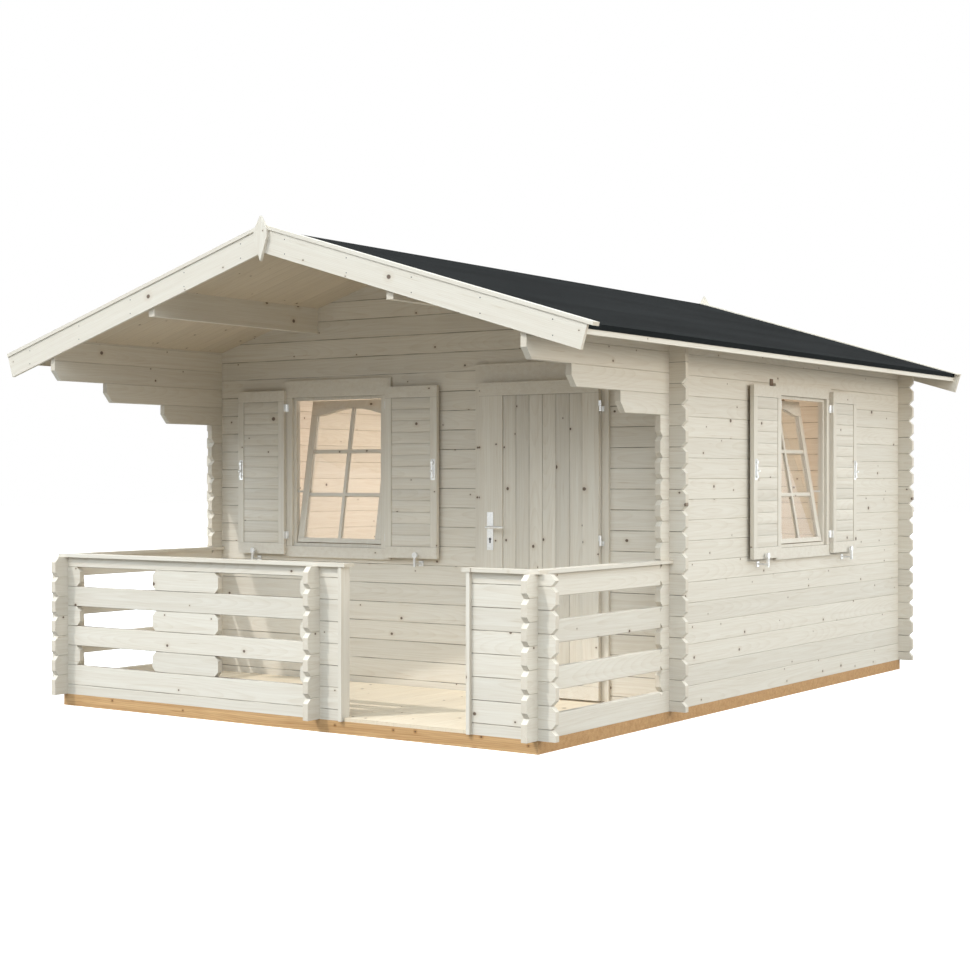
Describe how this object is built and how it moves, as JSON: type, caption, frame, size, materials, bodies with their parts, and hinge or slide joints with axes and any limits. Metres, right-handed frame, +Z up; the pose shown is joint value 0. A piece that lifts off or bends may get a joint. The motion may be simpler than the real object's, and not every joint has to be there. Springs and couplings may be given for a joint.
{
  "type": "log cabin",
  "caption": "Garden log cabin with a gabled felt roof, a railed terrace under its front gable, a hinged plank door and shuttered windows; the logs interlock at notched corners.",
  "frame": {"origin": "on the ground, on the underside of the joist below the ridge, halfway between the faces of the front and rear finials", "axes": "+X to the right seen from the front, +Y from the terrace towards the back wall, +Z up"},
  "size_m": [4.1976, 5.41, 2.8453],
  "materials": {
    "log_wood": "planed, untreated",
    "board_wood": "planed, untreated",
    "impregnated_wood": "impregnated",
    "roofing_felt": "matte, gritty",
    "zinc_steel": "zinc plated",
    "glass": "clear"
  },
  "bodies": {
    "cabin": {"foundation_frame": "impregnated_wood", "floor_joists": "impregnated_wood", "cabin_floor": "board_wood", "terrace_floor": "board_wood", "right_wall": "log_wood", "left_wall": "log_wood", "back_wall": "log_wood", "front_wall_window_side": "log_wood", "front_wall_hinge_side": "log_wood", "front_gable": "log_wood", "roof_purlins": "log_wood", "roof_boards_right": "board_wood", "roof_boards_left": "board_wood", "roofing_felt_right": "roofing_felt", "roofing_felt_left": "roofing_felt", "eave_strips": "board_wood", "bargeboards_right": "board_wood", "bargeboards_left": "board_wood", "barge_caps_right": "board_wood", "barge_caps_left": "board_wood", "finials": "board_wood", "rail_right": "log_wood", "rail_left": "log_wood", "rail_front_left": "log_wood", "rail_front_right": "log_wood", "rail_cross_post": "log_wood", "rail_caps_front": "board_wood", "rail_caps_side": "board_wood", "opening_trim_boards": "board_wood", "door_frame": "board_wood", "door_hinge_pins": "zinc_steel", "window_frame_front": "board_wood", "window_frame_right": "board_wood", "window_sashes": "board_wood", "window_glass": "glass", "window_stays": "zinc_steel", "shutters": "board_wood", "shutter_hinges": "zinc_steel", "shutter_catches": "zinc_steel"},
    "door": {"door_leaf": "board_wood", "door_hinge_barrels": "zinc_steel", "door_lock_plates": "zinc_steel"},
    "lever": {"door_lever": "zinc_steel"}
  },
  "joints": [
    {"name": "door", "type": "hinge", "parent": "cabin", "child": "door", "pos_m": [1.2935, -1.199, 1], "axis": [0, 0, 1], "range_deg": [0, 105]},
    {"name": "door_lever", "type": "hinge", "parent": "door", "child": "lever", "pos_m": [0.5355, -1.192, 1.098], "axis": [0, 1, 0], "range_deg": [0, 40], "stiffness_Nm_per_rad": 2, "springref_deg": -22.92}
  ]
}
